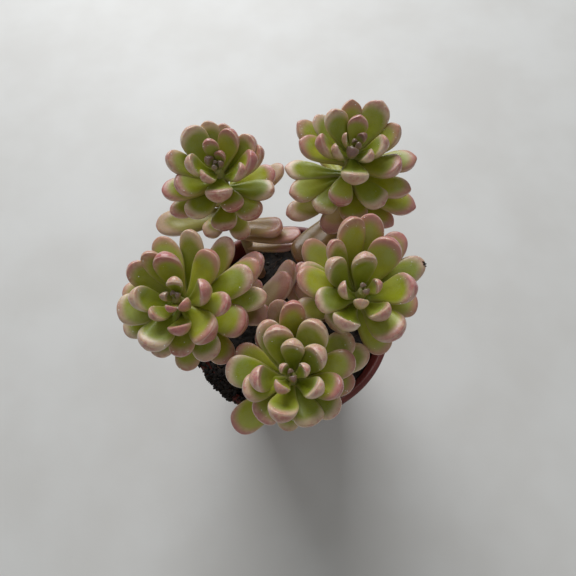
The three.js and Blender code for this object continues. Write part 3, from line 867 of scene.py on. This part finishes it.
lip_inner = RIM_RADIUS - LIP_WIDTH
lip_below = POT_HEIGHT - WALL
skirt_foot = POT_HEIGHT - SKIRT_DEPTH
pot_profile = [
    (0, 0, 0),
    (FOOT_RADIUS - 6, 0, 0.3),
    (FOOT_RADIUS, 0, 0.8),
    (wall_at(6), 6, 1),
    (wall_at(lip_below), lip_below, 0.5),
    (RIM_RADIUS - WALL, lip_below, 0.4),
    (RIM_RADIUS - WALL - SKIRT_DRAFT, skirt_foot, 0.5),
    (RIM_RADIUS - SKIRT_DRAFT, skirt_foot, 0.5),
    (RIM_RADIUS, POT_HEIGHT, 0.9),
    (lip_inner + 0.9, POT_HEIGHT, 0.7),
    (lip_inner - 0.1, POT_HEIGHT - 1.3, 0.6),
    (wall_at(FLOOR) - WALL, FLOOR, 1.2),
    (FOOT_RADIUS - 8, FLOOR, 0.5),
    (0, FLOOR, 0),
]


def drilled(piece, drills):
    """The piece with the drills' volume taken away by an exact boolean, whose result becomes its mesh."""
    points, faces = joined(drills)
    cutter = placed("drills", bpy.data.meshes.new("drills"))
    cutter.data.from_pydata(points, [], faces)
    cut = piece.modifiers.new("drain", "BOOLEAN")
    cut.object, cut.operation, cut.solver = cutter, "DIFFERENCE", "EXACT"
    bpy.context.view_layer.update()
    mesh = bpy.data.meshes.new_from_object(piece.evaluated_get(bpy.context.evaluated_depsgraph_get()))
    piece.modifiers.clear()
    mesh.name = piece.name
    piece.data = mesh
    bpy.data.objects.remove(cutter)
    mesh.shade_smooth()
    mesh.set_sharp_from_angle(angle=math.radians(SHARP_FROM))


def drill_at(turn):
    """A closed upright cylinder through the pot's floor at a turn about the axis."""
    angle = np.linspace(0, 2 * np.pi, DRAIN_SIDES, endpoint=False)
    heights = np.array([-FLOOR, 2 * FLOOR])[:, None]
    x = DRAIN_CIRCLE * math.cos(turn) + DRAIN_RADIUS * np.cos(angle)
    y = DRAIN_CIRCLE * math.sin(turn) + DRAIN_RADIUS * np.sin(angle)
    rings = np.stack(np.broadcast_arrays(x, y, heights), -1)
    return closed_skin(rings, rings[0].mean(axis=0), rings[1].mean(axis=0))


# %% [markdown]
# ### Pot finish
#
# The plastic is a dark terracotta red with a dull sheen. Moulding leaves faint rings around the wall and
# a slightly mottled gloss, and the top of the lip is painted paler as a highlight where the light falls on
# it.
# Use leaves patches of dust, and dark peat stains near the rim. Flat colour would look like a new toy. The
# dust and the stains follow clouds and the height instead, because watering splashes soil only near the
# top.


# %% Pot finish
SOILED_DEPTH = 14


def pot_finish():
    """Red plastic with a painted highlight on top of the lip, with dust and soil by height and cloud, and
    moulding rings in Z."""
    pot = Finish("terracotta_plastic", IOR=1.49, Coat_Roughness=0.25)
    z, top = pot.split(pot.place())[2], POT_HEIGHT * MM
    clouds = pot.noise(14, 4)
    specks = pot.noise(0.9, 4)
    grain = pot.noise(0.35, 2)
    rings = pot.node("ShaderNodeTexWave", {"wave_type": "BANDS", "bands_direction": "Z"}, {
        "Vector": pot.place(), "Scale": 180.0, "Distortion": 1.5, "Detail": 2.0, "Detail Scale": 1.0,
    }, 1)
    skin = pot.mix(clouds.step(0.3, 0.7), "5f241f", "6c2c25")
    # Painted highlight: the top of the lip is paler, as where light falls on it from above.
    skin = pot.mix(z.step(top - 0.5 * MM, top + 0.1 * MM) * 0.5, skin, "7a3836")
    dust = (clouds * 0.6 + specks * 0.4).step(0.52, 0.75)
    skin = pot.mix(dust * 0.25, skin, "8c6a5a")
    soil = specks.step(0.6, 0.72) * z.step(top - SOILED_DEPTH * MM, top)
    skin = pot.mix(soil * 0.7, skin, "2a1a12")
    rough = 0.34 + clouds * 0.12 + dust * 0.2 + soil * 0.25
    normal = pot.bump(rings, 0.03)
    normal = pot.bump(grain * 0.3 + specks * 0.7, 0.05, normal)
    return pot.done(Base_Color=skin, Roughness=rough, Normal=normal, Coat_Weight=0.2 - 0.18 * soil)


pot_wall = turned(rounded(pot_profile), POT_AROUND)
pot = add_piece("nursery_pot", [pot_wall], pot_finish(), ["pot"])
drilled(pot, [drill_at((i + 0.5) / DRAIN_HOLES * 2 * math.pi) for i in range(DRAIN_HOLES)])
print("pot:", len(pot.data.polygons), "faces")

# %% [markdown]
# ## The peat
#
# The peat fills the pot to just below the lip. From above it is a heap of dark crumbs. A plane with a
# bump would look printed at the rim, so the mound is a real relief: clouds of three sizes lift its top,
# at the front left it leans on the rim, and loose crumbs, fibres and a few grey grains of grit lie on it.
# The clods are folded sharply by taking the absolute value of a cloud, which leaves creases between round
# lumps.

# %% Peat mound
PEAT_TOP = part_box("peat")[1][2] / MM
PEAT_EDGE = PEAT_TOP - 1.7
PEAT_RINGS, PEAT_SIDE_RINGS, PEAT_AROUND = 78, 12, 240
PEAT_GAP = 0.25
HEAP_TURN, HEAP_SPREAD, HEAP_RISE = 227, 17, 5.0


def heap(points):
    """How much higher the peat lies at the front left, where it leans on the rim: a bell in the turn
    about the axis, times a smooth rise over the radius."""
    turn = np.degrees(np.arctan2(points[..., 1], points[..., 0])) % 360
    radius = np.hypot(points[..., 0], points[..., 1])
    return HEAP_RISE * np.exp(-(((turn - HEAP_TURN) / HEAP_SPREAD) ** 2)) * smooth(33, 40.5, radius)


def peat_height(points):
    """The height of the peat's top over a place: a low mound, plus the heap, plus clouds of 9 mm, plus
    the folds of clouds of 4 and 1.6 mm, where a fold is 0.5 - |cloud|."""
    flat = np.concatenate([points[..., :2], np.zeros_like(points[..., :1])], -1)
    radius = np.linalg.norm(flat, axis=-1)
    level = PEAT_TOP - 0.9 - 1.0 * (radius / 40) ** 2 + heap(points)
    folds = 0.5 - np.abs(cloud(flat, 4.0, 3)) + 0.5 * (0.5 - np.abs(cloud(flat, 1.6, 5)))
    return level + 0.7 * cloud(flat, 9, 1) + 1.1 * folds + 0.25 * cloud(flat, 0.7, 7)


def peat_skin():
    """A tapered plug, a gap smaller than the pot's inside, whose top is rings that shrink evenly to the
    middle and are lifted to the relief. A smooth share of the lift joins it to the plug's edge."""
    angle = np.linspace(0, 2 * np.pi, PEAT_AROUND, endpoint=False)
    ring = np.stack([np.cos(angle), np.sin(angle), 0 * angle], -1)
    low = FLOOR + PEAT_GAP
    heights = np.linspace(low, PEAT_EDGE, PEAT_SIDE_RINGS)
    sides = [ring * (wall_at(height) - WALL - PEAT_GAP) + (0, 0, height) for height in heights]
    edge = wall_at(PEAT_EDGE) - WALL - PEAT_GAP
    shares = np.linspace(1, 0, PEAT_RINGS + 1)[:-1]
    top = ring[None] * (edge * shares)[:, None, None]
    rise = peat_height(top)
    ease = smooth(0, 0.05, 1 - shares)[:, None]
    top[..., 2] = PEAT_EDGE * (1 - ease) + rise * ease
    rings = np.concatenate([np.array(sides), top[1:]])
    centre = np.array([[0.0, 0.0, 0.0]])
    return closed_skin(rings, (0, 0, low), (0, 0, float(peat_height(centre)[0])))


def peat_finish(name, dark, light, fleck):
    """A crumbly matt finish: clumps from dark to light, and pale flecks where scattered points are near."""
    peat = Finish(name)
    clumps = peat.noise(2.2, 5, 0.65)
    grain = peat.noise(0.5, 3)
    flecks = peat.cells(1.9).step(0.12, 0.05) * clumps.step(0.45, 0.6)
    skin = peat.mix(clumps.step(0.35, 0.7), dark, light)
    skin = peat.mix(grain.step(0.5, 0.8) * 0.5, skin, light)
    skin = peat.mix(flecks * 0.8, skin, fleck)
    normal = peat.bump(clumps, 0.7)
    normal = peat.bump(grain, 0.25, normal)
    return peat.done(Base_Color=skin, Roughness=0.75 + 0.2 * clumps, Normal=normal)


PEAT_FINISH = peat_finish("moist_peat", "0b0705", "211710", "584634")
add_piece("peat_mound", [peat_skin()], PEAT_FINISH, ["peat"])

# %% [markdown]
# ### Crumbs, fibres and grit
#
# Loose things on the peat are hundreds of small lumps, so each has only a few dozen faces. One function
# makes a whole batch as one array: a coarse ball, pressed and roughened by a cloud, once for each place.
# Some crumbs have spilt onto the rim at the front left.

# %% Loose bits
CRUMB_RINGS, CRUMB_AROUND = 5, 7
SCATTERED_CRUMBS, SPILT_CRUMBS = 300, 420
HEAP_EDGE = 43


def lumps(places, sizes, flat, luck):
    """A batch of closed lumps. Each is a ball of rings at cos and sin of two angles, scaled by its size,
    pressed by flat, turned by a random turn, and roughened by a cloud. Gives one skin for each lump."""
    polar = np.linspace(0, np.pi, CRUMB_RINGS + 2)[1:-1, None]
    angle = np.linspace(0, 2 * np.pi, CRUMB_AROUND, endpoint=False)[None]
    ball = np.stack(np.broadcast_arrays(
        np.sin(polar) * np.cos(angle), np.sin(polar) * np.sin(angle), -np.cos(polar)), -1).reshape(-1, 3)
    ball = np.concatenate([ball, [(0, 0, -1), (0, 0, 1)]])
    rough = cloud(ball[None] * 1.1 + luck.uniform(0, 99, (len(places), 1, 3)), 0.9)
    ball = ball[None] * (1 + 0.5 * rough[..., None])
    scale = sizes[:, None] * np.stack([np.ones(len(places)), luck.uniform(0.5, 1, len(places)),
                                       flat * luck.uniform(0.8, 1.2, len(places))], -1)
    ball = ball * scale[:, None]
    turn = luck.uniform(0, 2 * np.pi, len(places))[:, None]
    x = ball[..., 0] * np.cos(turn) - ball[..., 1] * np.sin(turn)
    y = ball[..., 0] * np.sin(turn) + ball[..., 1] * np.cos(turn)
    made = np.stack([x, y, ball[..., 2]], -1) + places[:, None]
    rings = made[:, :-2].reshape(len(places), CRUMB_RINGS, CRUMB_AROUND, 3)
    return [closed_skin(ring, ends[0], ends[1]) for ring, ends in zip(rings, made[:, -2:])]


def scattered(count, luck, reach=40.0):
    """Random places on the peat, at the height of the relief. The radius is reach times the root of a
    random number from 0 to 1, which spreads them evenly over the area."""
    turn, radius = luck.uniform(0, 2 * np.pi, count), reach * np.sqrt(luck.uniform(0, 1, count))
    flat = np.stack([radius * np.cos(turn), radius * np.sin(turn), 0 * turn], -1)
    flat[:, 2] = peat_height(flat)
    return flat


def spilt(count, luck):
    """Places of crumbs on the heap and on the rim beside it, at random turns and radii about its middle."""
    turn = np.radians(luck.normal(HEAP_TURN, 15, count))
    radius = luck.normal(41.3, 2.6, count).clip(34, 45)
    flat = np.stack([radius * np.cos(turn), radius * np.sin(turn), 0 * turn], -1)
    height = np.where(radius < lip_inner, peat_height(flat) + 0.3, POT_HEIGHT + 0.35)
    flat[:, 2] = np.minimum(height, POT_HEIGHT + 0.35) + luck.uniform(-0.3, 0.5, count)
    return flat


luck = np.random.default_rng([SEED, 60])
places = np.concatenate([scattered(SCATTERED_CRUMBS, luck), spilt(SPILT_CRUMBS, luck)])
sizes = luck.uniform(0.35, 1.0, len(places)) ** 1.6 * 1.5
sizes = sizes * np.where(np.hypot(places[:, 0], places[:, 1]) > HEAP_EDGE, 0.8, 1)
add_piece("peat_crumbs", lumps(places, sizes, 0.75, luck), PEAT_FINISH)
print("crumbs:", len(places))

# %% [markdown]
# ### Grains of grit
#
# A few grains of grey grit lie open between the shoots, and they catch the eye, so each has its own place
# instead of a random one. They are the lumps of the crumbs in a paler finish.

# %% Grains of grit
GRIT_PLACES = [
    (-13.4, 34), (-7.1, 35), (0.3, 36), (-10.4, 28.6),
    (-2.1, 13.1), (4, 33), (-3.6, 22), (22, -30),
]
grit = np.array([(x, y, 0) for x, y in GRIT_PLACES], float)
grit[:, 2] = peat_height(grit) + 0.5
GRIT_FINISH = peat_finish("grey_grit", "4b4a45", "6b6962", "8d897f")
add_piece("grit_grains", lumps(grit, luck.uniform(0.5, 1.0, len(grit)), 0.7, luck), GRIT_FINISH)
print("grains of grit:", len(grit))

# %% [markdown]
# ### Peat fibres
#
# Peat is full of thin roots and stalks. A curve with a bevel would make them one by one, but a bent tube
# on the same grid as the stems is quicker to lay: it follows the relief's height point by point.

# %% Peat fibres
FIBRE_ROWS, FIBRE_AROUND, FIBRE_COUNT, SPILT_FIBRES = 9, 6, 60, 20


def fibre_skin(place, luck):
    """A thin root or fibre: a level arc about a random turn, pressed on the peat or the rim and kept
    inside the rim's edge, with a slowly thinning tube."""
    length, bend, turn = luck.uniform(4, 11), luck.uniform(-1.6, 1.6), luck.uniform(0, 2 * np.pi)
    s = np.linspace(0, 1, FIBRE_ROWS)
    heading = turn + bend * s
    steps = np.stack([np.cos(heading), np.sin(heading), 0 * s], -1) * length / FIBRE_ROWS
    middle = place + np.cumsum(steps, axis=0)
    radius = np.hypot(middle[:, 0], middle[:, 1])
    middle[:, :2] *= np.minimum(1, (RIM_RADIUS - 0.3) / radius)[:, None]
    ground = np.where(radius > lip_inner - 0.4, POT_HEIGHT, peat_height(middle))
    middle[:, 2] = ground + 0.25 + luck.uniform(0, 1.2) * s**2
    ahead = unit(np.gradient(middle, axis=0))
    across = unit(np.cross((0, 0, 1), ahead))
    above = np.cross(ahead, across)
    angle = np.linspace(0, 2 * np.pi, FIBRE_AROUND, endpoint=False)[:, None]
    thin = (luck.uniform(0.1, 0.2) * (1 - 0.6 * s))[:, None, None]
    rings = middle[:, None] + thin * (across[:, None] * np.cos(angle) + above[:, None] * np.sin(angle))
    return closed_skin(rings, middle[0], middle[-1])


FIBRE_FINISH = peat_finish("dry_fibre", "3b281b", "6a4e37", "8d7354")
places = np.concatenate([scattered(FIBRE_COUNT, luck, 36.0), spilt(SPILT_FIBRES, luck)])
fibres = [fibre_skin(place, luck) for place in places]
add_piece("peat_fibres", fibres, FIBRE_FINISH)
print("fibres:", len(fibres))

# %% [markdown]
# ### Beads and a withered tip
#
# Near their tips the young leaves carry a few tiny clear beads, which sparkle. They are the lumps above
# once more, only smaller, and a faint white emission is painted on them as a glint, since a clear drop
# gathers light that a solid bead would lose. On the right a leaf's tip has withered to a black crust of
# four such lumps.

# %% Beads and a withered tip
WITHERED_LEAF = ("right", 22)
CRUST = [(0, -1.3, 0, 0.62), (-0.4, -0.8, 0.4, 0.5), (0.2, -1.9, -0.2, 0.42), (-0.3, -1.6, 0.4, 0.35)]


def bead_finish():
    """Clear, smooth and shiny, hardly tinted by a cloud, with a faint painted glow of white emission."""
    # Painted glint: a faint white emission makes the beads glow, though they are no lamp.
    glow = {"Emission_Color": linear("ffffff"), "Emission_Strength": 0.12}
    bead = Finish("clear_bead", Coat_Roughness=0.05, **glow)
    clouds = bead.noise(2.2)
    grain = bead.noise(0.1)
    skin = bead.mix(clouds.step(0.35, 0.7), "d8dccb", "eef0e6")
    return bead.done(Base_Color=skin, Roughness=0.1 + 0.2 * grain, Coat_Weight=0.7 + 0.3 * clouds)


beads = np.concatenate(BEAD_PLACES)
add_piece("skin_beads", lumps(beads, luck.uniform(0.06, 0.2, len(beads)), 0.8, luck), bead_finish())
crust = np.array(CRUST)
crust_places = TIPS[WITHERED_LEAF] + crust[:, :3]
add_piece("withered_tip", lumps(crust_places, crust[:, 3], 0.7, luck), PEAT_FINISH)
print("beads:", len(beads))

# %% [markdown]
# ## Floor and light
#
# The plant stands on a plain pale floor under a large soft light from behind and above, with a weak one
# from the front. A small lamp would draw hard shadows between the leaves. A wide one wraps around them,
# and its shine on the wax shows how they curve. The floor belongs to the stage and not to the object.


# %% Floor and light
def floor_finish():
    """Two near whites mixed by a wide cloud, with a very fine grain."""
    floor = Finish("pale_floor", IOR=1.45)
    clouds = floor.noise(60, 3)
    grain = floor.noise(1.5, 2)
    skin = floor.mix(clouds.step(0.3, 0.7), "dbdad6", "e2e2df")
    return floor.done(Base_Color=skin, Roughness=0.5 + 0.1 * grain, Normal=floor.bump(grain, 0.02))


FLOOR_RADIUS, FLOOR_DEEP, FLOOR_AROUND = 3000, 8, 64
PLANT_MIDDLE = (0, 0, 0.1)
SKY_STRENGTH = 0.29

floor_edge = [(0, -FLOOR_DEEP), (FLOOR_RADIUS, -FLOOR_DEEP), (FLOOR_RADIUS, 0), (0, 0)]
floor_points, floor_faces = joined([turned(np.array(floor_edge, float), FLOOR_AROUND)])
floor_mesh = bpy.data.meshes.new("floor")
floor_mesh.from_pydata(floor_points, [], floor_faces)
floor_mesh.materials.append(floor_finish())
floor = placed("floor", floor_mesh)
floor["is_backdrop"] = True


def soft_light(name, place, size, power, colour):
    """A square area light at a place in metres that points at the plant's middle. A light shines down its
    own -Z, so it is tipped from there by the angle between the aim and straight down, and then turned to
    the aim's direction in the plan."""
    data = bpy.data.lights.new(name, "AREA")
    data.shape, data.size, data.energy, data.color = "SQUARE", size, power, linear(colour)[:3]
    light = placed(name, data)
    light.location = place
    aim = np.array(PLANT_MIDDLE) - np.array(place)
    light.rotation_euler = (math.acos(-aim[2] / np.linalg.norm(aim)), 0, math.atan2(-aim[0], aim[1]))


soft_light("broad_light", (-0.2, 0.88, 0.75), 0.8, 12.3, "f4f5f7")
soft_light("front_fill", (0.4, -0.7, 0.9), 1.0, 1.0, "fff0e0")
world = bpy.data.worlds.new("pale_sky")
world.use_nodes = True
sky = world.node_tree.nodes["Background"]
sky.inputs["Color"].default_value = linear("dfe3e6")
sky.inputs["Strength"].default_value = SKY_STRENGTH
bpy.context.scene.world = world
bpy.context.scene.view_settings.view_transform = "Standard"

# %% [markdown]
# ## Sizes
#
# At the end the script measures its own work. It gathers the boxes of the CAD and of the visual model and
# prints the size of the visual one, where a leaf that has strayed shows as a number, which is easier to
# trust than the eye.

# %% Sizes and end
made_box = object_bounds()
sizes = {"cad": [list(corner) for corner in cad_box], "visual": [list(corner) for corner in made_box]}
print("made box in mm:", [round(side / MM, 1) for side in made_box[1] - made_box[0]])
